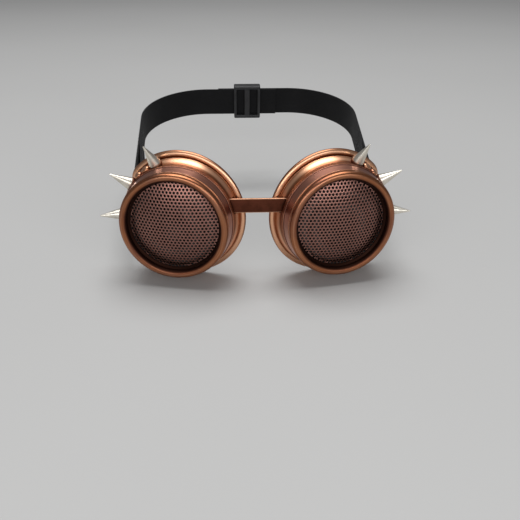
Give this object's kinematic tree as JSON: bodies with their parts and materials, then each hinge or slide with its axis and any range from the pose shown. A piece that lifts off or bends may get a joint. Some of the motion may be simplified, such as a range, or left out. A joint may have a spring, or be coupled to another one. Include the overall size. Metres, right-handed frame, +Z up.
{
  "type": "goggles",
  "caption": "Round steampunk goggles with screw-on bezels over domed perforated grilles, cone spikes on the outer sides, a flat nose strip and an elastic head strap.",
  "frame": {"origin": "where the wearer's brow is, midway between the cups at the height of their centres", "axes": "+X to the right hand side seen from the front, +Y back over the wearer's head, +Z up"},
  "size_m": [0.1792, 0.1979, 0.0794],
  "materials": {
    "copper_body": "moulded, antique copper metallic coating, satin, rubbed paler on the edges",
    "copper_grille": "perforated copper coloured sheet, domed, satin",
    "spacer": "black, matte",
    "smoked_lens": "smoked, clear",
    "gasket": "soft black rubber",
    "spike_metal": "turned, satin silver",
    "fastener": "plain steel",
    "nose_strip": "dark reddish copper, rubbed bright along its edges",
    "webbing": "black woven elastic webbing",
    "slider": "black moulded plastic"
  },
  "bodies": {
    "nose": {"nose_strip": "nose_strip"},
    "cup_right": {"cup_right": "copper_body", "lens_right": "smoked_lens", "gasket_right": "gasket", "spikes_right": "spike_metal", "spike_screws_right": "fastener", "nose_pin_right": "fastener"},
    "holder_right": {"grille_right": "copper_grille", "spacer_right": "spacer"},
    "bezel_right": {"bezel_right": "copper_body"},
    "strap_right": {"strap_right": "webbing"},
    "cup_left": {"cup_left": "copper_body", "lens_left": "smoked_lens", "gasket_left": "gasket", "spikes_left": "spike_metal", "spike_screws_left": "fastener", "nose_pin_left": "fastener"},
    "holder_left": {"grille_left": "copper_grille", "spacer_left": "spacer"},
    "bezel_left": {"bezel_left": "copper_body"},
    "strap_left": {"strap_left": "webbing"},
    "slider": {"strap_slider": "slider"}
  },
  "joints": [
    {"name": "cup_right_tilt", "type": "hinge", "parent": "nose", "child": "cup_right", "pos_m": [0.0183, -0.006, 0.0088], "axis": [0, 0, 1], "range_deg": [-10, 8]},
    {"name": "cup_left_tilt", "type": "hinge", "parent": "nose", "child": "cup_left", "pos_m": [-0.0183, -0.006, 0.0088], "axis": [0, 0, 1], "range_deg": [-8, 10]},
    {"name": "strap_right_swing", "type": "hinge", "parent": "cup_right", "child": "strap_right", "pos_m": [0.06929, 0.02218, 0], "axis": [0, 0, 1], "range_deg": [-8, 10]},
    {"name": "strap_left_swing", "type": "hinge", "parent": "cup_left", "child": "strap_left", "pos_m": [-0.06929, 0.02218, 0], "axis": [0, 0, 1], "range_deg": [-10, 8]},
    {"name": "bezel_right_travel", "type": "slide", "parent": "cup_right", "child": "holder_right", "axis": [0.2079, -0.9781, 0], "range_m": [0, 0.004]},
    {"name": "bezel_right_turn", "type": "hinge", "parent": "holder_right", "child": "bezel_right", "pos_m": [0.0447, -0.004, 0], "axis": [0.2079, -0.9781, 0], "range_deg": [0, 720]},
    {"name": "bezel_left_travel", "type": "slide", "parent": "cup_left", "child": "holder_left", "axis": [-0.2079, -0.9781, 0], "range_m": [0, 0.004]},
    {"name": "bezel_left_turn", "type": "hinge", "parent": "holder_left", "child": "bezel_left", "pos_m": [-0.0447, -0.004, 0], "axis": [-0.2079, -0.9781, 0], "range_deg": [0, 720]},
    {"name": "slider_slide", "type": "slide", "parent": "strap_left", "child": "slider", "axis": [1, 0, 0], "range_m": [-0.008, 0.008]}
  ],
  "couplings": [
    {"joint": "cup_left_tilt", "follows": "cup_right_tilt", "ratio": -1},
    {"joint": "strap_right_swing", "follows": "cup_right_tilt", "ratio": -1},
    {"joint": "strap_left_swing", "follows": "cup_right_tilt", "ratio": 1},
    {"joint": "bezel_right_travel", "follows": "bezel_right_turn", "m_per_rad": 0.00031831},
    {"joint": "bezel_left_travel", "follows": "bezel_left_turn", "m_per_rad": 0.00031831}
  ]
}
